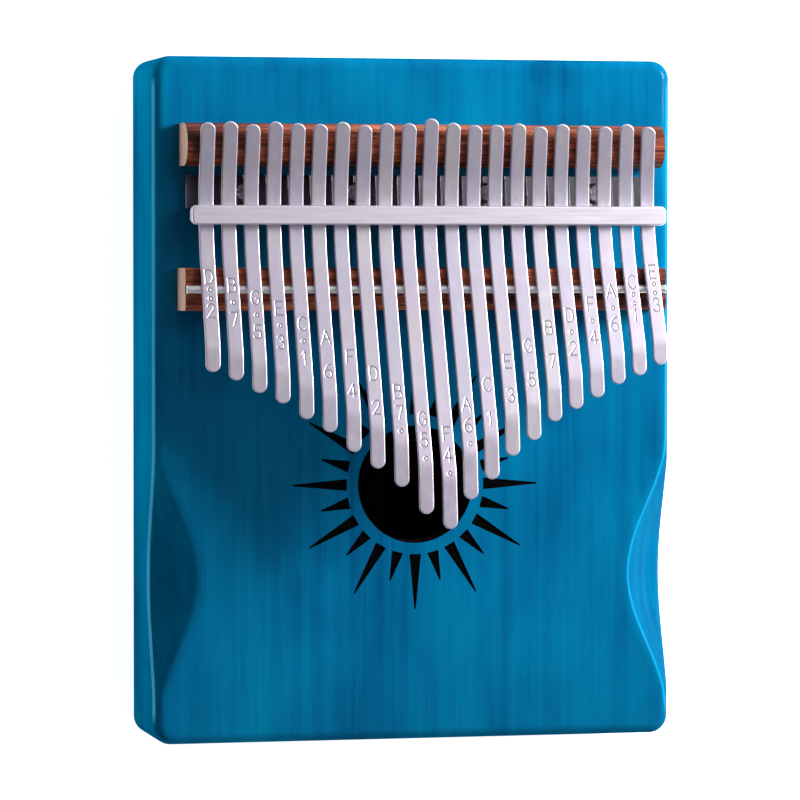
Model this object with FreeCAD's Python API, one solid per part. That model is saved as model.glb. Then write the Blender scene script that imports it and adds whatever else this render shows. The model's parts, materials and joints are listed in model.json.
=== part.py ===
"""Mbira (21-key thumb piano): hollow wooden body, two bars, clamp bracket, pressure bar and steel tines.

Millimetres. The instrument lies on its back: +Z points out of its face, +Y up the body towards the clamped
tails of the tines, +X to the player's right. The origin is the middle of the back, on the back face.
"""
import FreeCAD, Part
import math
import os

from FreeCAD import Vector

# Body
BODY_WIDTH = 144.0
BODY_LENGTH = 185.0
BODY_DEPTH = 34.0
BODY_CORNER_R = 5.0
FACE_EDGE_R = 3.0
BACK_EDGE_R = 2.0
FACE_THICKNESS = 5.5
WALL_THICKNESS = 9.0
CAVITY_CORNER_R = 6.0
SOUND_HOLE_R = 15.5
SOUND_HOLE_Y = -23.0
SOUND_HOLE_EDGE = 0.5

# Thumb scoops cut into both long edges of the face, fading out smoothly at their ends
SCOOP_INSET = 10.8
SCOOP_DROP = 9.4
SCOOP_LENGTH = 76.6
SCOOP_Y = -48.0
SCOOP_HOLLOW = 1.6
SCOOP_RIDGE = 1.3
SCOOP_SIDE_EDGE = 0.7
SCOOP_STATIONS = 13

# Sunburst engraved round the sound hole: plain straight triangles, every second one shorter
SUNBURST_RAYS = 24
SUNBURST_DEPTH = 0.4
RAY_ROOT_R = 19.0
RAY_ROOT_WIDTH = 3.2
RAY_TIP_WIDTH = 0.4
LONG_RAY_TIP_R = 34.0
SHORT_RAY_TIP_R = 27.0

# Back panel, let into a rebate
PANEL_THICKNESS = 3.0
PANEL_RIM = 4.5
PANEL_CORNER_R = 4.0
PANEL_GAP = 0.1
VIBRATO_HOLE_R = 4.5
VIBRATO_HOLE_X = 32.0
VIBRATO_HOLE_Y = -20.0

# Hardwood block glued under the face, which takes the bracket screws
BLOCK_LENGTH = 118.0
BLOCK_WIDTH = 18.0
BLOCK_HEIGHT = 12.0

# Wooden bars under the tines
BARS_X = 0.8
BAR_WIDTH = 11.4
BACKREST_LENGTH = 131.6
BACKREST_Y = 68.6
BACKREST_ROUND_R = 5.4
BRIDGE_LENGTH = 132.6
BRIDGE_Y = 30.0
BRIDGE_EDGE_R = 1.5
BRIDGE_GAP = 0.1
ROD_R = 1.2
ROD_END_INSET = 0.2

# Tines
TINE_COUNT = 21
TINE_PITCH = 6.09
TINE_WIDTH = 4.0
TINE_THICKNESS = 1.0
TINE_ROW_X = 1.25
FAN_LEFT_DEG = 0.5
FAN_RIGHT_DEG = 2.3
FAN_GROWTH = 2
NIP_Y = 49.8
NIP_BEND_R = 52.0
TAIL_RISE_DEG = 14.0
BLADE_RISE_DEG = 16.7
NIP_HEIGHT = 10.2
TAIL_REACH = 24.5
LONGEST_BLADE = 63.4
SEMITONES_PER_HALVING = 21.4
SCALE_STEPS = (2, 2, 2, 1, 2, 2, 1)
PAD_SHORTEST = 8.5
PAD_GROWTH = 0.17
PAD_BEND_R = 14.0
PAD_TILT_DEG = 2.0
# Each tine was slid a little to tune it, so the tails end unevenly, and the longest one stands furthest back
TAIL_UNEVEN = 0.4
TAIL_UNEVEN_STEP = 2.4
LONGEST_TAIL_SLIDE = 1.8

# Clamp bracket and pressure bar
SHEET = 1.2
BRACKET_LENGTH = 128.4
BRACKET_FLANGE = 10.4
WALL_LEAN = 0.8
BRACKET_WALL_Y = 50.2
COMB_ROOT = 5.0
COMB_GAP = 0.25
PRESSURE_BAR_LENGTH = 130.6
PRESSURE_BAR_WIDTH = 5.2
PRESSURE_BAR_HEIGHT = 3.2
PRESSURE_BAR_END_R = 1.6
PRESSURE_BAR_EDGE = 0.5
TENON_DEPTH = 1.2
TENON_GAP = 0.03
SCREW_R = 1.5
SCREW_HEAD_R = 2.8
SCREW_HEAD_HEIGHT = 1.8
SCREW_SLOT = 0.6
SCREW_LENGTH = 14.0
SCREW_GAP = 0.05
SCREWED_TINES = (2, 7, 13, 18)

# Small clearances
SEAT_GAP = 0.02
PIVOT_GAP = 0.12

# How far cutting shapes stand past what they cut, and a scoop's cutter stands off where it fades out
SKIN = 1.0
SKIN_GAP = 0.04
BLADE_SLOPE = math.tan(math.radians(BLADE_RISE_DEG))
TAIL_SLOPE = math.tan(math.radians(TAIL_RISE_DEG))
BLADE_ARC_END = NIP_BEND_R * math.sin(math.radians(BLADE_RISE_DEG))
TAIL_ARC_END = NIP_BEND_R * math.sin(math.radians(TAIL_RISE_DEG))
NIP_Z = BODY_DEPTH + NIP_HEIGHT
BRIDGE_REACH = NIP_Y - BRIDGE_Y


def underside(reach):
    """Height of a tine's underside at a distance from the nip, positive towards the tip."""
    if reach > BLADE_ARC_END:
        start = NIP_BEND_R * (1 - math.cos(math.radians(BLADE_RISE_DEG)))
        return NIP_Z + start + (reach - BLADE_ARC_END) * BLADE_SLOPE
    if reach < -TAIL_ARC_END:
        start = NIP_BEND_R * (1 - math.cos(math.radians(TAIL_RISE_DEG)))
        return NIP_Z + start + (-reach - TAIL_ARC_END) * TAIL_SLOPE
    return NIP_Z + NIP_BEND_R - math.sqrt(NIP_BEND_R ** 2 - reach ** 2)


def round_top(y, radius, rise_deg, gap):
    """Top of a rounding whose middle is at y, with the tines' sloping underside a gap above its skin."""
    return underside(NIP_Y - y) - gap + radius - radius / math.cos(math.radians(rise_deg))


# The rod's skin just meets the blades, the backrest is as high as the tails lie, and the bridge clears them
ROD_Z = round_top(BRIDGE_Y, ROD_R, BLADE_RISE_DEG, SEAT_GAP) - ROD_R
BACKREST_FRONT_Y = BACKREST_Y - BAR_WIDTH / 2
BACKREST_TOP = round_top(BACKREST_FRONT_Y + BACKREST_ROUND_R, BACKREST_ROUND_R, TAIL_RISE_DEG, SEAT_GAP)
BRIDGE_BACK_Y = BRIDGE_Y + BAR_WIDTH / 2
BRIDGE_TOP = round_top(BRIDGE_BACK_Y - BRIDGE_EDGE_R, BRIDGE_EDGE_R, BLADE_RISE_DEG, BRIDGE_GAP)


def box(low_x, high_x, low_y, high_y, low_z, high_z):
    """A block between two corners."""
    return Part.makeBox(high_x - low_x, high_y - low_y, high_z - low_z, Vector(low_x, low_y, low_z))


def rounded_slab(width, length, radius, low_z, high_z):
    """A slab about the Z axis with rounded corners in plan."""
    slab = box(-width / 2, width / 2, -length / 2, length / 2, low_z, high_z)
    upright = [edge for edge in slab.Edges if abs(edge.tangentAt(edge.FirstParameter).z) > 0.9]
    return slab.makeFillet(radius, upright)


def edges_at(shape, height):
    """The edges of a shape that lie flat at one height."""
    return [edge for edge in shape.Edges
            if abs(edge.BoundBox.ZMin - height) < 1e-6 and abs(edge.BoundBox.ZMax - height) < 1e-6]


def prism_x(points, low_x, high_x):
    """A closed outline of (y, z) points, drawn out along X."""
    wire = Part.makePolygon([Vector(low_x, y, z) for y, z in points + points[:1]])
    return Part.Face(wire).extrude(Vector(high_x - low_x, 0, 0))


def scoop_section(side, y, depth):
    """Closed outline, at one y, of what a scoop takes away: nothing at depth 0, all of it at depth 1."""
    inset, drop = SCOOP_INSET * depth, SCOOP_DROP * depth
    chord = math.hypot(SCOOP_INSET, SCOOP_DROP)
    hollow = SCOOP_HOLLOW * depth / chord
    ridge = SCOOP_RIDGE + (FACE_EDGE_R - SCOOP_RIDGE) * (1 - depth)
    edge = SCOOP_SIDE_EDGE + (FACE_EDGE_R - SCOOP_SIDE_EDGE) * (1 - depth)
    middle_in = inset / 2 + SCOOP_DROP * hollow + FACE_EDGE_R * (1 - depth) / 5
    middle_down = drop / 2 + SCOOP_INSET * hollow + FACE_EDGE_R * (1 - depth) / 5
    out = -SKIN_GAP
    poles = [(out, drop + 2 * FACE_EDGE_R), (out, drop + edge), (out + depth / 4, drop + edge / 3),
             (middle_in, middle_down),
             (inset + ridge / 3, out + depth / 2), (inset + ridge, out), (inset + 2 * FACE_EDGE_R, out)]
    points = [Vector(side * (BODY_WIDTH / 2 - across), y, BODY_DEPTH - down) for across, down in poles]
    curve = Part.BSplineCurve()
    curve.buildFromPoles(points, False, 3)
    above = Vector(points[-1].x, y, BODY_DEPTH + SCOOP_DROP)
    corner = Vector(side * (BODY_WIDTH / 2 + SCOOP_INSET), y, BODY_DEPTH + SCOOP_DROP)
    beside = Vector(corner.x, y, points[0].z)
    outside = [Part.makeLine(points[-1], above), Part.makeLine(above, corner),
               Part.makeLine(corner, beside), Part.makeLine(beside, points[0])]
    return Part.Wire([curve.toShape()] + outside)


def scoop_cutter(side):
    """One thumb scoop, lofted along the body's edge, deepest in its middle."""
    sections = []
    for station in range(SCOOP_STATIONS):
        along = 2 * station / (SCOOP_STATIONS - 1) - 1
        depth = math.cos(math.pi * along / 2) ** 2
        sections.append(scoop_section(side, SCOOP_Y + along * SCOOP_LENGTH / 2, depth))
    return Part.makeLoft(sections, True, False)


def ray_cutter(tip_r, direction):
    """One straight ray: a triangle that points away from the sound hole, with a blunt tip."""
    floor = BODY_DEPTH - SUNBURST_DEPTH
    corners = [Vector(-RAY_ROOT_WIDTH / 2, RAY_ROOT_R, floor), Vector(RAY_ROOT_WIDTH / 2, RAY_ROOT_R, floor),
               Vector(RAY_TIP_WIDTH / 2, tip_r, floor), Vector(-RAY_TIP_WIDTH / 2, tip_r, floor)]
    outline = Part.makePolygon(corners + corners[:1])
    ray = Part.Face(outline).extrude(Vector(0, 0, SUNBURST_DEPTH + SKIN))
    ray.rotate(Vector(0, 0, 0), Vector(0, 0, 1), -direction)
    ray.translate(Vector(0, SOUND_HOLE_Y, 0))
    return ray


def sunburst_cutters():
    """Everything that the engraved sunburst takes out of the face, long and short rays in turn."""
    tips = (LONG_RAY_TIP_R, SHORT_RAY_TIP_R)
    return [ray_cutter(tips[index % 2], 360 * index / SUNBURST_RAYS) for index in range(SUNBURST_RAYS)]


def screw_places():
    """Where the bracket screws stand: under the middle of some tines, half way along the flange."""
    y = BRACKET_WALL_Y + SHEET + (BRACKET_FLANGE - SHEET) / 2
    return [(nip_x(index), y) for index in SCREWED_TINES]


def screw_holes(low_z, high_z):
    """Clear holes for the screws' shanks."""
    height = high_z - low_z
    return [Part.makeCylinder(SCREW_R + SCREW_GAP, height, Vector(x, y, low_z)) for x, y in screw_places()]


def body_shell():
    """Face and walls, milled from one board, open at the back."""
    shell = rounded_slab(BODY_WIDTH, BODY_LENGTH, BODY_CORNER_R, 0, BODY_DEPTH)
    shell = shell.makeFillet(FACE_EDGE_R, edges_at(shell, BODY_DEPTH))
    shell = shell.makeFillet(BACK_EDGE_R, edges_at(shell, 0))
    cavity = rounded_slab(BODY_WIDTH - 2 * WALL_THICKNESS, BODY_LENGTH - 2 * WALL_THICKNESS,
                          CAVITY_CORNER_R, -SKIN, BODY_DEPTH - FACE_THICKNESS)
    rebate = rounded_slab(BODY_WIDTH - 2 * PANEL_RIM, BODY_LENGTH - 2 * PANEL_RIM, PANEL_CORNER_R,
                          -SKIN, PANEL_THICKNESS)
    hole_foot = BODY_DEPTH - FACE_THICKNESS - SKIN
    hole = Part.makeCylinder(SOUND_HOLE_R, FACE_THICKNESS + 2 * SKIN, Vector(0, SOUND_HOLE_Y, hole_foot))
    edge_break = Part.makeCone(SOUND_HOLE_R, SOUND_HOLE_R + 2 * SOUND_HOLE_EDGE, 2 * SOUND_HOLE_EDGE,
                               Vector(0, SOUND_HOLE_Y, BODY_DEPTH - SOUND_HOLE_EDGE))
    shell = shell.cut([scoop_cutter(-1), scoop_cutter(1)])
    shell = shell.cut([cavity, rebate, hole, edge_break])
    shell = shell.cut(sunburst_cutters())
    return shell.cut(screw_holes(BODY_DEPTH - FACE_THICKNESS - SKIN, BODY_DEPTH + SKIN))


def back_panel():
    """Thin panel that closes the cavity, with two small vibrato holes."""
    inset = PANEL_RIM + PANEL_GAP
    panel = rounded_slab(BODY_WIDTH - 2 * inset, BODY_LENGTH - 2 * inset, PANEL_CORNER_R - PANEL_GAP,
                         0, PANEL_THICKNESS)
    holes = [Part.makeCylinder(VIBRATO_HOLE_R, PANEL_THICKNESS + 2 * SKIN, Vector(x, VIBRATO_HOLE_Y, -SKIN))
             for x in (-VIBRATO_HOLE_X, VIBRATO_HOLE_X)]
    return panel.cut(holes)


def screw_block():
    """Hardwood block under the face, behind the bracket."""
    top = BODY_DEPTH - FACE_THICKNESS
    y = screw_places()[0][1]
    block = box(BARS_X - BLOCK_LENGTH / 2, BARS_X + BLOCK_LENGTH / 2,
                y - BLOCK_WIDTH / 2, y + BLOCK_WIDTH / 2, top - BLOCK_HEIGHT, top)
    return block.cut(screw_holes(top - BLOCK_HEIGHT - SKIN, top + SKIN))


def backrest():
    """Rounded bar under the tails."""
    bar = box(BARS_X - BACKREST_LENGTH / 2, BARS_X + BACKREST_LENGTH / 2,
              BACKREST_Y - BAR_WIDTH / 2, BACKREST_Y + BAR_WIDTH / 2, BODY_DEPTH, BACKREST_TOP)
    along = [edge for edge in edges_at(bar, BACKREST_TOP) if edge.Length > BAR_WIDTH * 2]
    return bar.makeFillet(BACKREST_ROUND_R, along)


def bridge():
    """Squarer bar with a groove along its top for the rod."""
    bar = box(BARS_X - BRIDGE_LENGTH / 2, BARS_X + BRIDGE_LENGTH / 2,
              BRIDGE_Y - BAR_WIDTH / 2, BRIDGE_Y + BAR_WIDTH / 2, BODY_DEPTH, BRIDGE_TOP)
    along = [edge for edge in edges_at(bar, BRIDGE_TOP) if edge.Length > BAR_WIDTH * 2]
    bar = bar.makeFillet(BRIDGE_EDGE_R, along)
    groove = Part.makeCylinder(ROD_R + SEAT_GAP, BRIDGE_LENGTH + 2 * SKIN,
                               Vector(BARS_X - BRIDGE_LENGTH / 2 - SKIN, BRIDGE_Y, ROD_Z), Vector(1, 0, 0))
    return bar.cut(groove)


def bridge_rod():
    """Steel rod that the blades bear on."""
    length = BRIDGE_LENGTH - 2 * ROD_END_INSET
    rod = Part.makeCylinder(ROD_R, length, Vector(BARS_X - length / 2, BRIDGE_Y, ROD_Z), Vector(1, 0, 0))
    return rod.makeFillet(ROD_R / 4, rod.Edges[0:1] + rod.Edges[2:3])


def nip_x(index):
    """Where a tine, counted from 0 at the left, crosses under the pressure bar."""
    return TINE_ROW_X + (index - (TINE_COUNT - 1) / 2) * TINE_PITCH


def fan_angle(index):
    """How far a tine leans out of line with the body, growing faster towards the right."""
    along = index / (TINE_COUNT - 1)
    return FAN_LEFT_DEG + (FAN_RIGHT_DEG - FAN_LEFT_DEG) * along ** FAN_GROWTH


def pitch_rank(index):
    """Rank of a tine's note: 0 is the lowest, in the middle, and the notes climb left and right in turn."""
    middle = (TINE_COUNT - 1) // 2
    return 2 * (index - middle) if index >= middle else 2 * (middle - index) - 1


def blade_length(index):
    """Free length from the rod to the tip, shorter as the note is higher."""
    semitones = sum(SCALE_STEPS[step % len(SCALE_STEPS)] for step in range(pitch_rank(index)))
    return LONGEST_BLADE / 2 ** (semitones / SEMITONES_PER_HALVING)


def tail_length(index):
    """How far a tine's tail reaches back from the pressure bar."""
    slide = LONGEST_TAIL_SLIDE if pitch_rank(index) == 0 else 0
    return TAIL_REACH + slide + TAIL_UNEVEN * math.sin(TAIL_UNEVEN_STEP * index)


def comb_edge(index):
    """The X of the middle of the gap to the left of a tine."""
    return nip_x(index) - TINE_PITCH / 2


def bracket():
    """Bent sheet: a flange screwed to the face, and a leaning wall cut into a comb for the tines."""
    tenon_top = pressure_bar_foot() + TENON_DEPTH - TENON_GAP
    front, back = BRACKET_WALL_Y, BRACKET_WALL_Y + SHEET
    low, high = BARS_X - BRACKET_LENGTH / 2, BARS_X + BRACKET_LENGTH / 2
    wall = prism_x([(front, BODY_DEPTH), (back, BODY_DEPTH), (back + WALL_LEAN, tenon_top),
                    (front + WALL_LEAN, tenon_top)], low, high)
    flange = box(low, high, front, front + BRACKET_FLANGE, BODY_DEPTH, BODY_DEPTH + SHEET)
    slots = []
    half = TINE_WIDTH / 2 + COMB_GAP
    for index in range(TINE_COUNT):
        slots.append(box(nip_x(index) - half, nip_x(index) + half, front - SKIN, back + WALL_LEAN + SKIN,
                         BODY_DEPTH + COMB_ROOT, tenon_top + SKIN))
    holes = screw_holes(BODY_DEPTH - SKIN, BODY_DEPTH + SHEET + SKIN)
    return wall.fuse(flange).removeSplitter().cut(slots + holes)


def pressure_bar_foot():
    """The bar's underside: just above the tines, which curve up a little at its edges."""
    inner_r = NIP_BEND_R - TINE_THICKNESS
    return NIP_Z + NIP_BEND_R - math.sqrt(inner_r ** 2 - (PRESSURE_BAR_WIDTH / 2) ** 2) + SEAT_GAP


def pressure_bar():
    """Bar across all the tines, with blind slots below for the bracket's teeth."""
    foot = pressure_bar_foot()
    top = foot + PRESSURE_BAR_HEIGHT
    bar = rounded_slab(PRESSURE_BAR_LENGTH, PRESSURE_BAR_WIDTH, PRESSURE_BAR_END_R, foot, top)
    bar.translate(Vector(TINE_ROW_X, NIP_Y, 0))
    bar = bar.makeFillet(PRESSURE_BAR_EDGE, edges_at(bar, top))
    tenon_front = BRACKET_WALL_Y - TENON_GAP
    tenon_back = BRACKET_WALL_Y + SHEET + WALL_LEAN + TENON_GAP
    mortises = []
    for index in range(TINE_COUNT + 1):
        half = (TINE_PITCH - TINE_WIDTH) / 2 - COMB_GAP + TENON_GAP
        low, high = comb_edge(index) - half, comb_edge(index) + half
        if index == 0:
            low = BARS_X - BRACKET_LENGTH / 2 - TENON_GAP
        if index == TINE_COUNT:
            high = BARS_X + BRACKET_LENGTH / 2 + TENON_GAP
        mortises.append(box(low, high, tenon_front, tenon_back, foot - SKIN, foot + TENON_DEPTH))
    return bar.cut(mortises)


def bracket_screw(x, y):
    """Round-headed wood screw through the flange."""
    seat = BODY_DEPTH + SHEET
    shank = Part.makeCylinder(SCREW_R, SCREW_LENGTH, Vector(x, y, seat - SCREW_LENGTH))
    head = Part.makeCylinder(SCREW_HEAD_R, SCREW_HEAD_HEIGHT, Vector(x, y, seat))
    head = head.makeFillet(SCREW_HEAD_HEIGHT / 2, edges_at(head, seat + SCREW_HEAD_HEIGHT))
    slot = box(x - SCREW_HEAD_R, x + SCREW_HEAD_R, y - SCREW_SLOT / 2, y + SCREW_SLOT / 2,
               seat + SCREW_HEAD_HEIGHT / 2, seat + SCREW_HEAD_HEIGHT + SKIN)
    return shank.fuse(head).removeSplitter().cut(slot)


def bracket_screws():
    """The four screws that hold the bracket."""
    return Part.makeCompound([bracket_screw(x, y) for x, y in screw_places()])


def arc(start, middle, end):
    """An arc edge through three (reach, z) points."""
    return Part.Arc(*(Vector(0, -reach, z) for reach, z in (start, middle, end))).toShape()


def line(start, end):
    """A straight edge between two (reach, z) points."""
    return Part.LineSegment(*(Vector(0, -reach, z) for reach, z in (start, end))).toShape()


def bend_point(centre, radius, degrees):
    """A (reach, z) point on a bend, at an angle from straight down."""
    angle = math.radians(degrees)
    return (centre[0] + radius * math.sin(angle), centre[1] - radius * math.cos(angle))


def strip_profile(tail, tip, pad):
    """Side outline of a tine as a face in the YZ plane, from tail to pad."""
    nip = (0, NIP_Z + NIP_BEND_R)
    bend_reach = tip - pad
    bend_foot = underside(bend_reach)
    rise, tilt = math.radians(BLADE_RISE_DEG), math.radians(PAD_TILT_DEG)
    bend = (bend_reach + PAD_BEND_R * math.sin(rise), bend_foot - PAD_BEND_R * math.cos(rise))
    edges = []
    for offset in (0, TINE_THICKNESS):
        inner, outer = NIP_BEND_R - offset, PAD_BEND_R + offset
        nip_tail = bend_point(nip, inner, -TAIL_RISE_DEG)
        nip_blade = bend_point(nip, inner, BLADE_RISE_DEG)
        pad_start = (bend[0] - outer * math.sin(rise), bend[1] + outer * math.cos(rise))
        half_way = (rise + tilt) / 2
        pad_middle = (bend[0] - outer * math.sin(half_way), bend[1] + outer * math.cos(half_way))
        pad_end = (bend[0] - outer * math.sin(tilt), bend[1] + outer * math.cos(tilt))
        tail_end = (-tail, nip_tail[1] + (tail + nip_tail[0]) * TAIL_SLOPE)
        tip_end = (tip, pad_end[1] + (tip - pad_end[0]) * math.tan(tilt))
        edges.append([line(tail_end, nip_tail), arc(nip_tail, bend_point(nip, inner, 0), nip_blade),
                      line(nip_blade, pad_start), arc(pad_start, pad_middle, pad_end),
                      line(pad_end, tip_end)])
    ends = [Part.LineSegment(edges[0][0].Vertexes[0].Point, edges[1][0].Vertexes[0].Point).toShape(),
            Part.LineSegment(edges[0][-1].Vertexes[-1].Point, edges[1][-1].Vertexes[-1].Point).toShape()]
    return Part.Face(Part.Wire(Part.__sortEdges__(edges[0] + edges[1] + ends)))


def strip_plan(tail, tip):
    """Plan outline of a tine as a tall block, with a full round at each end."""
    half = TINE_WIDTH / 2
    top = NIP_Z + LONGEST_BLADE
    low_y, high_y = -tip + half, tail - half
    middle = box(-half, half, low_y, high_y, 0, top)
    ends = [Part.makeCylinder(half, top, Vector(0, y, 0)) for y in (low_y, high_y)]
    return middle.fuse(ends)


def pivot_cut(reach, towards_tip):
    """A block on one side of the square cut across a blade above the rod, half the pivot gap from it."""
    angle = -BLADE_RISE_DEG
    far = LONGEST_BLADE * 3
    low = PIVOT_GAP / 2 if not towards_tip else -far
    high = far if not towards_tip else -PIVOT_GAP / 2
    block = box(-TINE_PITCH, TINE_PITCH, low, high, -far, far)
    block.rotate(Vector(0, 0, 0), Vector(1, 0, 0), angle)
    block.translate(Vector(0, -reach, underside(reach)))
    return block


def tine_parts(index):
    """One tine, parted above the rod into the clamped tail and the speaking blade."""
    tail = tail_length(index)
    contact = BRIDGE_REACH - ROD_R * math.sin(math.radians(BLADE_RISE_DEG))
    tip = BRIDGE_REACH + blade_length(index)
    pad = PAD_SHORTEST + PAD_GROWTH * (blade_length(index) - blade_length(TINE_COUNT - 1))
    profile = strip_profile(tail, tip, pad)
    profile.translate(Vector(-TINE_WIDTH / 2, 0, 0))
    strip = profile.extrude(Vector(TINE_WIDTH, 0, 0)).common(strip_plan(tail, tip))
    parts = []
    for towards_tip in (False, True):
        part = strip.common(pivot_cut(contact, towards_tip))
        part.rotate(Vector(0, 0, 0), Vector(0, 0, 1), fan_angle(index))
        part.translate(Vector(nip_x(index), NIP_Y, 0))
        parts.append(part)
    return parts


def save(shape, name):
    """Write one sub-part."""
    shape.exportStep("parts/" + name + ".step")


def main():
    """Build and write every sub-part."""
    os.makedirs("parts", exist_ok=True)
    save(body_shell(), "body_shell")
    save(back_panel(), "back_panel")
    save(screw_block(), "screw_block")
    save(backrest(), "backrest")
    save(bridge(), "bridge")
    save(bridge_rod(), "bridge_rod")
    save(bracket(), "bracket")
    save(pressure_bar(), "pressure_bar")
    save(bracket_screws(), "bracket_screws")
    for index in range(TINE_COUNT):
        tail, blade = tine_parts(index)
        save(tail, "tine_%02d_tail" % (index + 1))
        save(blade, "tine_%02d_blade" % (index + 1))


main()
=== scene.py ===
"""Looks of the mbira: stamped steel tines, stained wood, bright metal, studio and camera. Metres."""
import json
import math

import bmesh
import bpy
import numpy as np
from mathutils import Matrix, Vector


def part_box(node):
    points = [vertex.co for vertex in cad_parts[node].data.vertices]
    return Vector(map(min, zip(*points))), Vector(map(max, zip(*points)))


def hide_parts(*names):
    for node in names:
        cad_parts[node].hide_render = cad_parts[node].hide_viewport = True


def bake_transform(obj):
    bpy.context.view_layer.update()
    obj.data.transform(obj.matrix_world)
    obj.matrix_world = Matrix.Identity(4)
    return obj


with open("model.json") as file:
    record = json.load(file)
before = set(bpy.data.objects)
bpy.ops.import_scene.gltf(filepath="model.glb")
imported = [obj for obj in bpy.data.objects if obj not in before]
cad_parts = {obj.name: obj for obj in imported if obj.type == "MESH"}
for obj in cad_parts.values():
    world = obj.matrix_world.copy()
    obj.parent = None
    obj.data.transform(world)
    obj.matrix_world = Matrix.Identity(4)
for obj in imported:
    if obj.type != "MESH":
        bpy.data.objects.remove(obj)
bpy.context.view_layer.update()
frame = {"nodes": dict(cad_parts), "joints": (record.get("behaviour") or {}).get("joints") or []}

MM = 0.001

# Tines: the same driving dimensions as the design
TINE_COUNT = 21
TINE_PITCH = 6.09 * MM
TINE_WIDTH = 4.0 * MM
TINE_THICKNESS = 1.0 * MM
TINE_ROW_X = 1.25 * MM
NIP_Y = 49.8 * MM
NIP_Z = 44.2 * MM
NIP_BEND_R = 52.0 * MM
TAIL_RISE = math.radians(14.0)
BLADE_RISE = math.radians(16.7)
PAD_SHORTEST = 8.5 * MM
PAD_GROWTH = 0.17
PAD_BEND_R = 14.0 * MM
PAD_TILT = math.radians(2.0)

# Mesh of a tine: edge rounding, and how finely it is cut
EDGE_TOP_R = 0.28 * MM
EDGE_FOOT_R = 0.16 * MM
EDGE_STEPS = 4
FOOT_STEPS = 2
END_STEPS = 9
TOP_COLUMNS = 27
ROW_STEP = 1.5 * MM
LABEL_STEP = 0.14 * MM
DOUBLED_WITHIN = 0.001 * MM
DEGENERATE_WITHIN = 0.0001 * MM

# Stamped note names: distances from a tine's tip to the middle of each mark, and the marks' sizes
STAMP_DEPTH = 0.10 * MM
STAMP_LIP = 0.012 * MM
STAMP_STROKE = 0.155 * MM
LETTER_WIDTH = 2.4 * MM
LETTER_HEIGHT = 3.6 * MM
NUMBER_WIDTH = 2.3 * MM
NUMBER_HEIGHT = 3.6 * MM
DOT_RING_R = 0.47 * MM
LETTER_AT = 24.85 * MM
NUMBER_AT = 15.9 * MM
LOW_NUMBER_AT = 19.3 * MM
LOW_DOT_AT = 14.5 * MM
DOTS_AT = {1: (20.3 * MM,), 2: (21.5 * MM, 19.1 * MM)}
LABEL_FROM = 12.7 * MM
LABEL_TO = 27.3 * MM
NOTE_NAMES = "CDEFGAB"
LOWEST_NOTE = 3


def arc_points(middle_x, middle_y, radius_x, radius_y, start, end, steps=10):
    """Points along an arc of an ellipse, between two angles in degrees."""
    angles = np.radians(np.linspace(start, end, steps))
    return [(middle_x + radius_x * math.cos(a), middle_y + radius_y * math.sin(a)) for a in angles]


# Strokes of each mark, plain and without serifs, in a box one wide and one high
GLYPHS = {
    "A": [[(0, 0), (0.5, 1), (1, 0)], [(0.18, 0.36), (0.82, 0.36)]],
    "B": [[(0.1, 0), (0.1, 1), (0.5, 1)] + arc_points(0.5, 0.77, 0.32, 0.23, 90, -90) + [(0.1, 0.54)],
          [(0.5, 0.54)] + arc_points(0.55, 0.27, 0.37, 0.27, 90, -90) + [(0.1, 0)]],
    "C": [arc_points(0.52, 0.5, 0.47, 0.5, 42, 318, 18)],
    "D": [[(0.1, 0), (0.1, 1), (0.42, 1)] + arc_points(0.42, 0.5, 0.5, 0.5, 90, -90, 14) + [(0.1, 0)]],
    "E": [[(0.88, 1), (0.14, 1), (0.14, 0), (0.88, 0)], [(0.14, 0.52), (0.74, 0.52)]],
    "F": [[(0.88, 1), (0.16, 1), (0.16, 0)], [(0.16, 0.52), (0.74, 0.52)]],
    "G": [arc_points(0.5, 0.5, 0.46, 0.5, 42, 325, 18) + [(0.9, 0.44), (0.56, 0.44)]],
    "1": [[(0.28, 0.78), (0.54, 1), (0.54, 0)]],
    "2": [arc_points(0.5, 0.74, 0.38, 0.26, 170, -20, 12) + [(0.08, 0), (0.92, 0)]],
    "3": [arc_points(0.46, 0.76, 0.34, 0.24, 160, -90, 12), arc_points(0.46, 0.27, 0.42, 0.27, 90, -160, 14)],
    "4": [[(0.68, 0), (0.68, 1), (0.04, 0.28), (0.96, 0.28)]],
    "5": [[(0.86, 1), (0.24, 1), (0.18, 0.56)] + arc_points(0.46, 0.3, 0.42, 0.3, 120, -155, 14)],
    "6": [arc_points(0.86, 0.34, 0.78, 0.66, 92, 180, 10), arc_points(0.48, 0.29, 0.4, 0.29, 0, 360, 18)],
    "7": [[(0.08, 1), (0.94, 1), (0.42, 0)]],
}

# Studio
CAMERA_PLACE = (-0.2710, 0.0381, 1.1776)
CAMERA_YAW = math.radians(13.130)
CAMERA_PITCH = math.radians(1.863)
CAMERA_ROLL = math.radians(-0.035)
CAMERA_LENS = 195.0
KEY_PLACE = (0.59, 0.24, 0.40)
KEY_SIZE = 0.26
KEY_WATTS = 8.7
LIT_MIDDLE = (0, 0, 0.03)
FLOOR_SIZE = 12.0
FLOOR_Z = -0.2 * MM
DARK_PATCH = (0.23, -0.03, 0.97)
RING_STOPS = ((0.0, 0.68), (0.80, 0.56), (0.93, 0.80), (0.985, 0.44))
SIDE_STOPS = ((0.0, 0.10), (0.42, 0.34), (0.62, 0.84), (1.0, 1.0))
LENGTH_STOPS = ((0.2, 0.54), (0.5, 0.76), (0.75, 1.0))
WORLD_COLOUR = (1.0, 1.0, 1.04)


# ---------------------------------------------------------------- shader nodes

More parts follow.
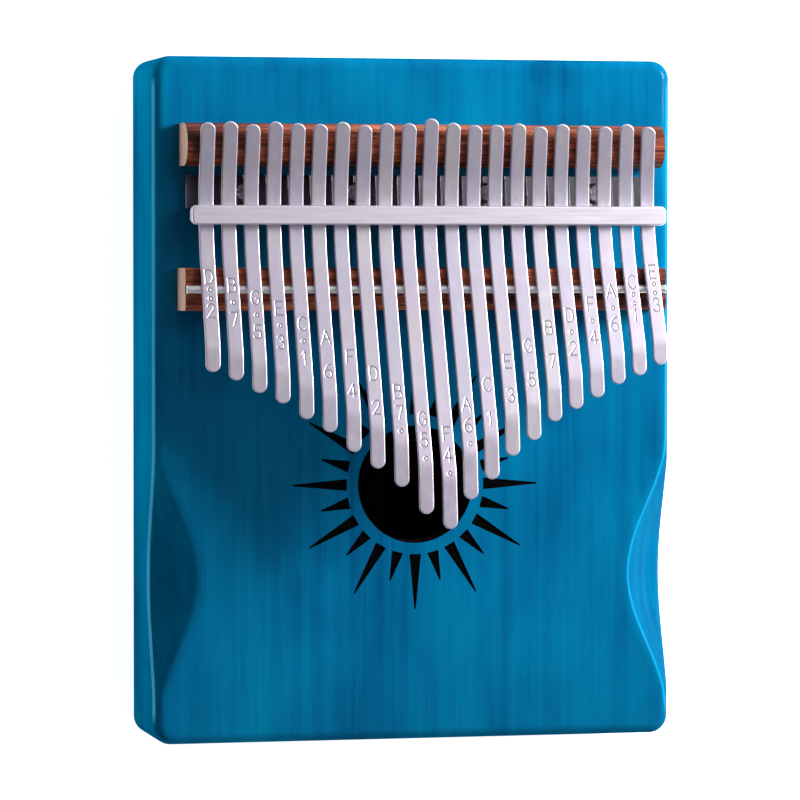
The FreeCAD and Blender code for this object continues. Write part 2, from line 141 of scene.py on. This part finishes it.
class Shader:
    """A material made of nodes, with short ways to add and join them."""

    def __init__(self, name):
        self.material = bpy.data.materials.new(name)
        self.material.use_nodes = True
        self.tree = self.material.node_tree
        self.surface = self.tree.nodes["Principled BSDF"]
        self.place = self.tree.nodes.new("ShaderNodeTexCoord").outputs["Object"]

    def node(self, kind, inputs=None, **settings):
        """A node with its settings, and its inputs set to plain values or fed from other nodes."""
        made = self.tree.nodes.new("ShaderNode" + kind)
        for key, value in settings.items():
            setattr(made, key, value)
        for key, value in (inputs or {}).items():
            self.feed(made.inputs[key], value)
        return made

    def feed(self, socket, value):
        """Link an output into a socket, or set a plain value on it."""
        if isinstance(value, bpy.types.NodeSocket):
            self.tree.links.new(value, socket)
        else:
            socket.default_value = value

    def math(self, operation, first, second=0.0, third=0.0):
        """One sum on numbers."""
        inputs = {0: first, 1: second, 2: third}
        return self.node("Math", inputs, operation=operation).outputs[0]

    def stretched(self, scale):
        """Object coordinates multiplied by a scale per axis."""
        return self.node("Mapping", {"Vector": self.place, "Scale": scale}).outputs[0]

    def noise(self, scale, detail=3.0, roughness=0.5, distortion=0.0):
        """Noise whose frequency differs along each axis."""
        inputs = {"Vector": self.stretched(scale), "Scale": 1.0, "Detail": detail,
                  "Roughness": roughness, "Distortion": distortion}
        return self.node("TexNoise", inputs).outputs["Fac"]

    def ramp(self, value, *stops):
        """Colours spread over a value: each stop is (position, colour)."""
        made = self.node("ValToRGB", {"Fac": value})
        points = made.color_ramp.elements
        while len(points) < len(stops):
            points.new(0.5)
        for point, (position, colour) in zip(points, stops):
            point.position = position
            point.color = (*colour, 1.0)
        return made.outputs["Color"]

    def span(self, value, low, high, to_low=0.0, to_high=1.0):
        """A value carried from one span to another, held at its ends."""
        inputs = {"Value": value, "From Min": low, "From Max": high, "To Min": to_low, "To Max": to_high}
        return self.node("MapRange", inputs).outputs[0]

    def mix(self, share, first, second, blend="MIX"):
        """One colour over another."""
        made = self.node("Mix", data_type="RGBA", blend_type=blend)
        for index, value in ((0, share), (6, first), (7, second)):
            if not isinstance(value, bpy.types.NodeSocket) and index != 0:
                value = (*value, 1.0)
            self.feed(made.inputs[index], value)
        return made.outputs[2]

    def bump(self, height, distance, strength=1.0, over=None):
        """Small relief from a height."""
        inputs = {"Height": height, "Distance": distance, "Strength": strength}
        if over is not None:
            inputs["Normal"] = over
        return self.node("Bump", inputs).outputs[0]

    def finish(self, **sockets):
        """Feed the surface shader: keys are its socket names with underscores for spaces."""
        for key, value in sockets.items():
            if isinstance(value, tuple) and len(value) == 3:
                value = (*value, 1.0)
            self.feed(self.surface.inputs[key.replace("_", " ")], value)
        return self.material


def split(shader, vector):
    """The three parts of a vector."""
    return shader.node("SeparateXYZ", {0: vector}).outputs


def inside(shader, value, low, high):
    """One where a value lies between two limits, nothing elsewhere."""
    above = shader.math("GREATER_THAN", value, low)
    below = shader.math("LESS_THAN", value, high)
    return shader.math("MULTIPLY", above, below)


# ---------------------------------------------------------------- materials

FACE_Z = 34.0 * MM
CAVITY_Z = 28.6 * MM
HOLE_MIDDLE_Y = -23.0 * MM
CAVITY_HALF_WIDTH = 63.3 * MM
CAVITY_HALF_LENGTH = 83.8 * MM
BODY_HALF_WIDTH = 72.0 * MM
SCOOP_INSET = 10.8 * MM
SCOOP_HALF_LENGTH = 38.3 * MM
SCOOP_Y = -48.0 * MM
RIDGE_IN = 1.0 * MM
EDGE_IN = 0.36 * MM
LOWEST_EDGE_Z = 22.0 * MM
EDGE_FADES_FROM = 84.0 * MM
EDGE_FADES_TO = 87.0 * MM
ENGRAVED_WITHIN_R = 45.0 * MM
BURNT_FROM_Z = 27.0 * MM
BURNT_UP_TO_Z = FACE_Z - 0.03 * MM
SHADED_INSIDE_FROM_Z = 2.9 * MM
PAINTED_FALLOFF_SPAN_Y = 90.0 * MM


def painted_edge_highlights(s, x, y, z):
    """Painted highlight lines on the edges: (the left edge's corner, the right edge and its scoop's ridge).
    """
    along = s.math("DIVIDE", s.math("ABSOLUTE", s.math("SUBTRACT", y, SCOOP_Y)), SCOOP_HALF_LENGTH)
    depth = s.math("COSINE", s.math("MULTIPLY", s.math("MINIMUM", along, 1.0), math.pi / 2))
    ridge = s.math("MULTIPLY_ADD", s.math("MULTIPLY", depth, depth), SCOOP_INSET, RIDGE_IN)
    inwards = s.math("SUBTRACT", BODY_HALF_WIDTH, s.math("ABSOLUTE", x))
    right = s.span(s.math("ABSOLUTE", s.math("SUBTRACT", inwards, ridge)), 0.1 * MM, 0.55 * MM, 1.0, 0.0)
    left = s.span(s.math("ABSOLUTE", s.math("SUBTRACT", inwards, EDGE_IN)), 0.2 * MM, 0.34 * MM, 1.0, 0.0)
    above = s.math("GREATER_THAN", z, LOWEST_EDGE_Z)
    above = s.math("MULTIPLY", above, s.span(s.math("ABSOLUTE", y), EDGE_FADES_FROM, EDGE_FADES_TO, 1.0, 0.0))
    on_right = s.math("MULTIPLY", above, s.math("GREATER_THAN", x, 0.0))
    on_left = s.math("MULTIPLY", above, s.math("LESS_THAN", x, 0.0))
    return s.math("MULTIPLY", left, on_left), s.math("MULTIPLY", right, on_right)


def blue_wood():
    """Blue stain under lacquer, with grain along the body, burnt engraving, a bare inside painted near black
    as shade, painted highlight lines on the edges, painted light on the sides and a painted light-to-dark
    gradient along the body.
    """
    s = Shader("blue_wood")
    x, y, z = split(s, s.place)
    streaks = s.noise((420, 9, 420), 4.0, 0.6)
    fibres = s.noise((1900, 45, 1900), 2.0, 0.6)
    clouds = s.noise((34, 20, 34), 3.0, 0.55, 0.4)
    boards = s.noise((75, 1.2, 75), 1.0, 0.5)
    tone = s.math("ADD", s.math("MULTIPLY", streaks, 0.36), s.math("MULTIPLY", clouds, 0.62))
    tone = s.math("ADD", tone, s.math("MULTIPLY", boards, 0.20))
    tone = s.math("ADD", tone, s.math("MULTIPLY", s.math("SUBTRACT", fibres, 0.5), 0.16))
    stain = s.ramp(tone, (0.40, (0.0, 0.084, 0.215)), (0.54, (0.0, 0.140, 0.312)),
                   (0.66, (0.0, 0.178, 0.370)), (0.80, (0.0, 0.225, 0.415)))
    normal = split(s, s.node("TexCoord").outputs["Normal"])
    facing = s.math("ABSOLUTE", normal[2])
    sideways = s.math("ABSOLUTE", normal[0])
    # Painted light: the sides facing along x are brightened, standing in for the light falling on them.
    stain = s.mix(s.span(sideways, 0.9, 0.99, 0.0, 0.9), stain, (1.35, 1.3, 1.25), "MULTIPLY")
    # Painted light: the stain is darker towards the lower end of the body and paler towards the upper end,
    # standing in for the light's falloff.
    painted_falloff = s.span(y, -PAINTED_FALLOFF_SPAN_Y, PAINTED_FALLOFF_SPAN_Y, 0.86, 1.12)
    stain = s.mix(1.0, stain, s.node("CombineXYZ", {0: painted_falloff, 1: painted_falloff, 2: painted_falloff}).outputs[0], "MULTIPLY")
    # Painted highlights: pale blue lines along the left edge's corner and along the right edge and its
    # scoop's ridge, broken up by the streaks.
    left_highlight, right_highlight = painted_edge_highlights(s, x, y, z)
    highlight_streaks = s.span(streaks, 0.3, 0.7, 0.7, 1.0)
    stain = s.mix(s.math("MULTIPLY", left_highlight, highlight_streaks), stain, (0.08, 0.54, 0.86))
    stain = s.mix(s.math("MULTIPLY", right_highlight, highlight_streaks), stain, (0.004, 0.33, 0.60))
    aside = s.math("SUBTRACT", y, HOLE_MIDDLE_Y)
    square = s.math("ADD", s.math("MULTIPLY", x, x), s.math("MULTIPLY", aside, aside))
    radius = s.math("SQRT", square)
    near = s.math("LESS_THAN", radius, ENGRAVED_WITHIN_R)
    char_height = inside(s, z, BURNT_FROM_Z, BURNT_UP_TO_Z)
    burnt = s.math("MULTIPLY", near, char_height)
    soot = s.noise((900, 900, 900), 3.0, 0.6)
    char = s.ramp(soot, (0.35, (0.0015, 0.0015, 0.0017)), (0.7, (0.0045, 0.004, 0.0038)))
    scorched = s.ramp(s.noise((600, 600, 2600), 2.0, 0.5),
                      (0.40, (0.004, 0.003, 0.0025)), (0.62, (0.028, 0.015, 0.010)))
    wall = s.math("LESS_THAN", facing, 0.6)
    charred = s.mix(wall, char, scorched)
    colour = s.mix(burnt, stain, charred)
    # Painted shade: the bare inside of the cavity is coloured near black, standing in for the shade inside
    # the body.
    across = s.math("LESS_THAN", s.math("ABSOLUTE", x), CAVITY_HALF_WIDTH)
    along = s.math("LESS_THAN", s.math("ABSOLUTE", y), CAVITY_HALF_LENGTH)
    below = inside(s, z, SHADED_INSIDE_FROM_Z, CAVITY_Z)
    inside_bare_and_shaded = s.math("MULTIPLY", s.math("MULTIPLY", across, along), below)
    inside_shade = s.ramp(streaks, (0.3, (0.006, 0.0045, 0.004)), (0.7, (0.014, 0.010, 0.008)))
    colour = s.mix(inside_bare_and_shaded, colour, inside_shade)
    dull = s.math("MAXIMUM", burnt, inside_bare_and_shaded)
    roughness = s.math("ADD", s.span(streaks, 0.3, 0.7, 0.27, 0.36), s.math("MULTIPLY", dull, 0.45))
    grain = s.bump(fibres, 0.02 * MM, 0.5)
    grain = s.bump(clouds, 0.25 * MM, 0.12, grain)
    lacquer = s.math("MULTIPLY", s.span(facing, 0.6, 0.95, 0.0, 0.12), s.math("SUBTRACT", 1.0, dull))
    return s.finish(Base_Color=colour, Roughness=roughness, Normal=grain, Specular_IOR_Level=0.0,
                    Coat_Weight=lacquer, Coat_Roughness=0.1, Coat_IOR=1.5)


def bar_wood():
    """Oiled red-brown hardwood with dark pores along the bar and paler sawn ends."""
    s = Shader("bar_wood")
    bands = s.noise((20, 480, 480), 5.0, 0.68, 0.8)
    pores = s.noise((110, 2300, 2300), 3.0, 0.65)
    patches = s.noise((45, 60, 60), 2.0, 0.5)
    tone = s.math("ADD", s.math("MULTIPLY", bands, 0.6), s.math("MULTIPLY", patches, 0.4))
    wood = s.ramp(tone, (0.38, (0.026, 0.005, 0.004)), (0.47, (0.15, 0.027, 0.012)),
                  (0.55, (0.40, 0.090, 0.036)), (0.66, (0.62, 0.215, 0.095)))
    dark = s.span(pores, 0.34, 0.50, 0.85, 0.0)
    wood = s.mix(dark, wood, (0.022, 0.006, 0.005))
    end_pores = s.noise((200, 3600, 3600), 2.0, 0.6)
    end_rings = s.noise((200, 160, 900), 2.0, 0.5)
    end_wood = s.ramp(s.math("ADD", s.math("MULTIPLY", end_pores, 0.6), s.math("MULTIPLY", end_rings, 0.4)),
                      (0.36, (0.46, 0.25, 0.18)), (0.48, (0.72, 0.46, 0.36)), (0.64, (0.86, 0.59, 0.47)))
    facing = s.math("ABSOLUTE", split(s, s.node("TexCoord").outputs["Normal"])[0])
    wood = s.mix(s.span(facing, 0.55, 0.85), wood, end_wood)
    roughness = s.span(bands, 0.3, 0.7, 0.38, 0.56)
    relief = s.bump(pores, 0.06 * MM, 0.6)
    return s.finish(Base_Color=wood, Roughness=roughness, Normal=relief, Specular_IOR_Level=0.22)


def plain_wood():
    """Unfinished pale hardwood, end grain at its short ends."""
    s = Shader("plain_wood")
    bands = s.noise((10, 260, 260), 4.0, 0.6, 0.5)
    pores = s.noise((90, 1900, 1900), 2.0, 0.6)
    wood = s.ramp(bands, (0.34, (0.33, 0.19, 0.095)), (0.7, (0.55, 0.37, 0.21)))
    wood = s.mix(s.span(pores, 0.32, 0.45, 0.5, 0.0), wood, (0.16, 0.085, 0.04))
    return s.finish(Base_Color=wood, Roughness=s.span(pores, 0.3, 0.7, 0.75, 0.6),
                    Normal=s.bump(pores, 0.05 * MM, 0.5))


def tine_steel():
    """Satin nickel on spring steel: a faint cast, fine brushing along each tine, stamp floors darkened as
    painted shade.
    """
    s = Shader("tine_steel")
    cast = s.noise((210, 34, 60), 2.0, 0.5)
    brushing = s.noise((5200, 160, 5200), 2.0, 0.6)
    handled = s.noise((420, 300, 300), 3.0, 0.6)
    tint = s.ramp(cast, (0.36, (0.640, 0.610, 0.725)), (0.50, (0.680, 0.605, 0.735)),
                  (0.64, (0.690, 0.645, 0.700)))
    depth = s.node("Attribute", attribute_name="stamp").outputs["Fac"]
    # Painted shade: the stamped grooves are darkened by their depth.
    tint = s.mix(s.math("MULTIPLY", depth, 0.5), tint, (0.10, 0.09, 0.11))
    roughness = s.math("ADD", s.span(brushing, 0.25, 0.75, 0.38, 0.46), s.span(handled, 0.5, 0.8, 0.0, 0.06))
    relief = s.bump(brushing, 0.004 * MM, 0.6)
    return s.finish(Base_Color=tint, Metallic=1.0, Roughness=roughness, Normal=relief)


def bright_metal(name, colour, smooth, rough, stretch):
    """Plated metal with faint smudges drawn out along one axis."""
    s = Shader(name)
    smudges = s.noise(stretch, 3.0, 0.6)
    dust = s.noise((2400, 2400, 2400), 2.0, 0.5)
    tint = s.mix(s.span(dust, 0.62, 0.8, 0.0, 0.35), colour, tuple(0.55 * part for part in colour))
    relief = s.bump(smudges, 0.01 * MM, 0.35)
    roughness = s.span(smudges, 0.3, 0.7, smooth, rough)
    return s.finish(Base_Color=tint, Metallic=1.0, Roughness=roughness, Normal=relief)


def floor_paper():
    """Pale studio paper."""
    s = Shader("floor_paper")
    tooth = s.noise((600, 600, 600), 2.0, 0.5)
    colour = s.ramp(tooth, (0.3, (0.90, 0.90, 0.90)), (0.7, (0.93, 0.93, 0.93)))
    return s.finish(Base_Color=colour, Roughness=0.9, Specular_IOR_Level=0.1,
                    Emission_Color=(1.0, 1.0, 0.97), Emission_Strength=0.9)


def dress(node, made):
    """Give a CAD node a material in every slot."""
    mesh = frame["nodes"][node].data
    if not mesh.materials:
        mesh.materials.append(made)
    for index in range(len(mesh.materials)):
        mesh.materials[index] = made


def soften(node, width, segments=3, angle=40):
    """Break a node's sharp edges with a small rounding."""
    bevel = frame["nodes"][node].modifiers.new("broken_edges", "BEVEL")
    bevel.width = width
    bevel.segments = segments
    bevel.limit_method = "ANGLE"
    bevel.angle_limit = math.radians(angle)
    bevel.harden_normals = True
    bevel.use_clamp_overlap = True


# ---------------------------------------------------------------- tines

def nip_x(index):
    """Where a tine, counted from 0 at the left, crosses under the pressure bar."""
    return TINE_ROW_X + (index - (TINE_COUNT - 1) / 2) * TINE_PITCH


def joint_of(index):
    """The joint that a tine's blade turns about."""
    return next(joint for joint in frame["joints"] if joint["child"] == "tine_%02d" % (index + 1))


def fan_angle(index):
    """How far a tine leans out of line with the body, from where its joint lies past the nip."""
    x, y, _ = joint_of(index)["pos_m"]
    return math.atan2(x - nip_x(index), NIP_Y - y)


def node_name(index, part):
    """A tine's CAD node."""
    return "tine_%02d_%s" % (index + 1, part)


def reach_of_tip(index):
    """Level distance along a tine from the nip to its tip, from where the CAD blade ends."""
    half = TINE_WIDTH / 2
    low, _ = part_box(node_name(index, "blade"))
    return (NIP_Y - low.y - half) / math.cos(fan_angle(index)) + half


def reach_of_tail(index):
    """Level distance along a tine from the nip to the end of its tail, from where the CAD tail ends."""
    half = TINE_WIDTH / 2
    _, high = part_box(node_name(index, "tail"))
    return (high.y - half - NIP_Y) / math.cos(fan_angle(index)) + half


class Spine:
    """The underside of a tine: reach is the level distance from the nip, positive towards the tip."""

    def __init__(self, tail, tip, pad):
        self.blade_bend = NIP_BEND_R * math.sin(BLADE_RISE)
        self.tail_bend = NIP_BEND_R * math.sin(TAIL_RISE)
        self.tail = tail
        self.tip = tip
        self.pad_start = tip - pad
        start = self.foot(self.pad_start)
        self.bend_reach = self.pad_start + PAD_BEND_R * math.sin(BLADE_RISE)
        self.bend_z = start - PAD_BEND_R * math.cos(BLADE_RISE)
        self.pad_end = self.bend_reach - PAD_BEND_R * math.sin(PAD_TILT)

    def foot(self, reach):
        """Height of the underside before the pad bends flat."""
        if reach > self.blade_bend:
            return (NIP_Z + NIP_BEND_R * (1 - math.cos(BLADE_RISE))
                    + (reach - self.blade_bend) * math.tan(BLADE_RISE))
        if reach < -self.tail_bend:
            return (NIP_Z + NIP_BEND_R * (1 - math.cos(TAIL_RISE))
                    + (-reach - self.tail_bend) * math.tan(TAIL_RISE))
        return NIP_Z + NIP_BEND_R - math.sqrt(NIP_BEND_R ** 2 - reach ** 2)

    def at(self, reach):
        """(height, slope) of the underside."""
        if reach > self.pad_end:
            end_z = self.bend_z + PAD_BEND_R * math.cos(PAD_TILT)
            return end_z + (reach - self.pad_end) * math.tan(PAD_TILT), PAD_TILT
        if reach > self.pad_start:
            lean = math.asin((self.bend_reach - reach) / PAD_BEND_R)
            return self.bend_z + PAD_BEND_R * math.cos(lean), lean
        if reach > self.blade_bend:
            return self.foot(reach), BLADE_RISE
        if reach < -self.tail_bend:
            return self.foot(reach), -TAIL_RISE
        return self.foot(reach), math.asin(reach / NIP_BEND_R)


def note_of(index):
    """(letter, number, octave) of a tine: 0 is the middle octave, counted up and down from it."""
    middle = (TINE_COUNT - 1) // 2
    rank = 2 * (index - middle) if index >= middle else 2 * (middle - index) - 1
    step = LOWEST_NOTE + rank
    octave = (step - len(NOTE_NAMES)) // len(NOTE_NAMES)
    number = step % len(NOTE_NAMES)
    return NOTE_NAMES[number], str(number + 1), octave


def ring(x, y, radius):
    """A small circle as a closed stroke."""
    return [[(x + px, y + py) for px, py in arc_points(0, 0, radius, radius, 0, 360, 14)]]


def placed_glyph(mark, y, width, height):
    """A mark's strokes, centred on the tine at a distance from its tip."""
    return [[((px - 0.5) * width, y + (py - 0.5) * height) for px, py in stroke] for stroke in GLYPHS[mark]]


def label_strokes(index):
    """Every stroke stamped on a tine: x across it, y back from its tip."""
    letter, number, octave = note_of(index)
    strokes = placed_glyph(letter, LETTER_AT, LETTER_WIDTH, LETTER_HEIGHT)
    if octave < 0:
        strokes += placed_glyph(number, LOW_NUMBER_AT, NUMBER_WIDTH, NUMBER_HEIGHT)
        return strokes + ring(0, LOW_DOT_AT, DOT_RING_R)
    strokes += placed_glyph(number, NUMBER_AT, NUMBER_WIDTH, NUMBER_HEIGHT)
    for y in DOTS_AT.get(octave, ()):
        strokes += ring(0, y, DOT_RING_R)
    return strokes


def distance_to_strokes(points, strokes):
    """How far each point lies from the nearest stroke."""
    nearest = np.full(len(points), 1.0)
    for stroke in strokes:
        corners = np.array(stroke)
        for start, end in zip(corners[:-1], corners[1:]):
            along = end - start
            length = max(along @ along, 1e-16)
            share = np.clip((points - start) @ along / length, 0, 1)
            gap = np.linalg.norm(points - (start + share[:, None] * along), axis=1)
            nearest = np.minimum(nearest, gap)
    return nearest


def section_levels():
    """Edge of a tine's section from its underside to its top: (how far in from the outline, height)."""
    levels = []
    for step in range(FOOT_STEPS + 1):
        angle = math.pi / 2 * step / FOOT_STEPS
        levels.append((EDGE_FOOT_R * (1 - math.sin(angle)), EDGE_FOOT_R * (1 - math.cos(angle))))
    for step in range(EDGE_STEPS + 1):
        angle = math.pi / 2 * step / EDGE_STEPS
        below_top = EDGE_TOP_R * (1 - math.sin(angle))
        levels.append((EDGE_TOP_R * (1 - math.cos(angle)), TINE_THICKNESS - below_top))
    return levels


def row_places(spine):
    """Places along a tine where it is cut across: (reach, angle round its end or None)."""
    half = TINE_WIDTH / 2
    turns = [math.pi / 2 * step / END_STEPS for step in range(END_STEPS)]
    rows = [(-spine.tail, -turn) for turn in turns]
    label_low, label_high = spine.tip - LABEL_TO, spine.tip - LABEL_FROM
    spans = ((half - spine.tail, label_low, ROW_STEP), (label_low, label_high, LABEL_STEP),
             (label_high, spine.tip - half, ROW_STEP / 2))
    for start, end, step in spans:
        count = max(1, round((end - start) / step))
        rows += [(start + (end - start) * part / count, None) for part in range(count)]
    rows.append((spine.tip - half, None))
    return rows + [(spine.tip, turn) for turn in reversed(turns)]


def section_point(place, inset):
    """(reach, half width) of a tine's outline, drawn in by an inset, at one row."""
    reach, turn = place
    radius = TINE_WIDTH / 2 - inset
    if turn is None:
        return reach, radius
    back = inset + radius * (1 - math.cos(turn))
    side = 1 if reach > 0 else -1
    return reach - side * back, radius * math.sin(abs(turn))


def tine_mesh(index):
    """One whole tine: a bent strip with rounded edges and ends, and its note stamped in the top."""
    pad = PAD_SHORTEST + PAD_GROWTH * (reach_of_tip(index) - reach_of_tip(TINE_COUNT - 1))
    spine = Spine(reach_of_tail(index), reach_of_tip(index), pad)
    rows = row_places(spine)
    levels = section_levels()
    shares = np.linspace(-1, 1, TOP_COLUMNS)
    strokes = label_strokes(index)
    flat, lifts, stamps = [], [], []
    for place in rows:
        for side in (1, -1):
            for inset, height in levels if side == 1 else levels[::-1]:
                reach, half = section_point(place, inset)
                flat.append((side * half, reach))
                lifts.append(height)
                stamps.append(False)
            if side == 1:
                reach, half = section_point(place, EDGE_TOP_R)
                for share in shares[::-1][1:-1]:
                    flat.append((share * half, reach))
                    lifts.append(TINE_THICKNESS)
                    stamps.append(True)
    flat, lifts, stamps = np.array(flat), np.array(lifts), np.array(stamps)
    marked = np.stack([flat[:, 0], spine.tip - flat[:, 1]], axis=1)
    gap = distance_to_strokes(marked[stamps], strokes)
    cut = np.clip(1.25 - gap / STAMP_STROKE, 0, 1)
    cut = cut * cut * (3 - 2 * cut)
    lip = np.exp(-((gap - 1.9 * STAMP_STROKE) / (0.6 * STAMP_STROKE)) ** 2)
    lifts[stamps] += STAMP_LIP * lip * (gap < 4 * STAMP_STROKE) - (STAMP_DEPTH + STAMP_LIP) * cut
    depth = np.zeros(len(flat))
    depth[stamps] = cut
    around = len(flat) // len(rows)
    turn = Matrix.Rotation(fan_angle(index), 3, "Z")
    origin = Vector((nip_x(index), NIP_Y, 0))
    points = []
    for (x, reach), lift in zip(flat, lifts):
        foot, slope = spine.at(reach)
        local = Vector((x, -reach + lift * math.sin(slope), foot + lift * math.cos(slope)))
        points.append(origin + turn @ local)
    faces = []
    for row in range(len(rows) - 1):
        for step in range(around):
            a = row * around + step
            b = row * around + (step + 1) % around
            faces.append((a, a + around, b + around, b))
    mesh = bpy.data.meshes.new("tine_%02d" % (index + 1))
    mesh.from_pydata(points, [], faces)
    mark = mesh.attributes.new("stamp", "FLOAT", "POINT")
    mark.data.foreach_set("value", depth.astype(np.float32))
    return mesh


def close_ends(mesh):
    """Merge the doubled points where a tine's ends come together, and shade it smooth."""
    work = bmesh.new()
    work.from_mesh(mesh)
    bmesh.ops.remove_doubles(work, verts=work.verts, dist=DOUBLED_WITHIN)
    bmesh.ops.dissolve_degenerate(work, edges=work.edges, dist=DEGENERATE_WITHIN)
    bmesh.ops.recalc_face_normals(work, faces=work.faces)
    work.to_mesh(mesh)
    work.free()
    mesh.shade_smooth()


def make_tine(index, steel):
    """A whole tine that stands for its clamped tail and its speaking blade, and bends over the rod."""
    mesh = tine_mesh(index)
    close_ends(mesh)
    mesh.materials.append(steel)
    tine = bpy.data.objects.new(mesh.name + "_strip", mesh)
    bpy.context.scene.collection.objects.link(tine)
    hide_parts(node_name(index, "tail"), node_name(index, "blade"))
    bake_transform(tine)


# ---------------------------------------------------------------- studio

def soft_box(name, place, aim, width, height, watts):
    """A rectangular studio light turned to a point."""
    light = bpy.data.lights.new(name, "AREA")
    light.shape = "RECTANGLE"
    light.size = width
    light.size_y = height
    light.energy = watts
    lamp = bpy.data.objects.new(name, light)
    lamp.location = place
    lamp.rotation_euler = (Vector(aim) - Vector(place)).to_track_quat("-Z", "Y").to_euler()
    bpy.context.scene.collection.objects.link(lamp)


def add_world():
    """Soft room light: a bright ring round a darker middle overhead, dim left and bright right."""
    world = bpy.data.worlds.new("studio")
    world.use_nodes = True
    bpy.context.scene.world = world
    tree = world.node_tree

    def number(operation, first, second):
        made = tree.nodes.new("ShaderNodeMath")
        made.operation = operation
        for socket, value in zip(made.inputs, (first, second, 0.5)):
            if isinstance(value, bpy.types.NodeSocket):
                tree.links.new(value, socket)
            else:
                socket.default_value = value
        return made.outputs[0]

    def spread(value, stops):
        made = tree.nodes.new("ShaderNodeValToRGB")
        tree.links.new(value, made.inputs[0])
        elements = made.color_ramp.elements
        while len(elements) < len(stops):
            elements.new(0.5)
        for element, (position, grey) in zip(elements, stops):
            element.position = position
            element.color = (grey, grey, grey, 1.0)
        return made.outputs["Color"]

    towards = tree.nodes.new("ShaderNodeTexCoord").outputs["Generated"]
    parts = tree.nodes.new("ShaderNodeSeparateXYZ")
    tree.links.new(towards, parts.inputs[0])
    turned = tree.nodes.new("ShaderNodeVectorMath")
    turned.operation = "DOT_PRODUCT"
    tree.links.new(towards, turned.inputs[0])
    turned.inputs[1].default_value = Vector(DARK_PATCH).normalized()
    overhead = spread(turned.outputs["Value"], RING_STOPS)
    sideways = spread(number("MULTIPLY_ADD", parts.outputs[0], 0.5), SIDE_STOPS)
    lengthwise = spread(number("MULTIPLY_ADD", parts.outputs[1], 0.5), LENGTH_STOPS)
    strength = number("MULTIPLY", number("MULTIPLY", overhead, sideways), lengthwise)
    tree.links.new(strength, tree.nodes["Background"].inputs["Strength"])
    tree.nodes["Background"].inputs["Color"].default_value = (*WORLD_COLOUR, 1.0)


def add_studio():
    """Floor, lights and camera."""
    floor_mesh = bpy.data.meshes.new("floor")
    half = FLOOR_SIZE / 2
    corners = [(x * half, y * half, FLOOR_Z) for x, y in ((-1, -1), (1, -1), (1, 1), (-1, 1))]
    floor_mesh.from_pydata(corners, [], [(0, 1, 2, 3)])
    floor_mesh.materials.append(floor_paper())
    floor = bpy.data.objects.new("floor", floor_mesh)
    bpy.context.scene.collection.objects.link(floor)
    add_world()
    soft_box("key", KEY_PLACE, LIT_MIDDLE, KEY_SIZE, KEY_SIZE, KEY_WATTS)
    camera_data = bpy.data.cameras.new("camera")
    camera_data.lens = CAMERA_LENS
    camera_data.clip_start = 0.01
    camera_data.clip_end = 50
    camera = bpy.data.objects.new("camera", camera_data)
    turn = (Matrix.Rotation(-CAMERA_YAW, 3, "Y") @ Matrix.Rotation(-CAMERA_PITCH, 3, "X")
            @ Matrix.Rotation(-CAMERA_ROLL, 3, "Z"))
    camera.location = CAMERA_PLACE
    camera.rotation_euler = turn.to_euler()
    bpy.context.scene.collection.objects.link(camera)
    bpy.context.scene.camera = camera
    bpy.context.scene.view_settings.view_transform = "Standard"


def dress_frame():
    """Materials and small roundings for the CAD nodes that stay."""
    blue, bars = blue_wood(), bar_wood()
    chrome = bright_metal("bracket_chrome", (0.40, 0.40, 0.42), 0.015, 0.04, (60, 300, 300))
    for node, made in (("body_shell", blue), ("back_panel", blue), ("backrest", bars), ("bridge", bars),
                       ("screw_block", plain_wood()), ("bracket", chrome)):
        dress(node, made)
    dress("bridge_rod", bright_metal("rod_steel", (0.90, 0.90, 0.91), 0.27, 0.33, (40, 300, 300)))
    dress("pressure_bar", bright_metal("satin_steel", (0.92, 0.87, 0.96), 0.38, 0.46, (60, 2600, 2600)))
    dress("bracket_screws", bright_metal("screw_steel", (0.62, 0.62, 0.64), 0.18, 0.34, (700, 700, 700)))
    soften("backrest", 0.35 * MM)
    soften("bridge", 0.30 * MM)
    soften("screw_block", 0.4 * MM)
    soften("bracket", 0.15 * MM, 2)


dress_frame()
tine_finish = tine_steel()
for tine_index in range(TINE_COUNT):
    make_tine(tine_index, tine_finish)
add_studio()
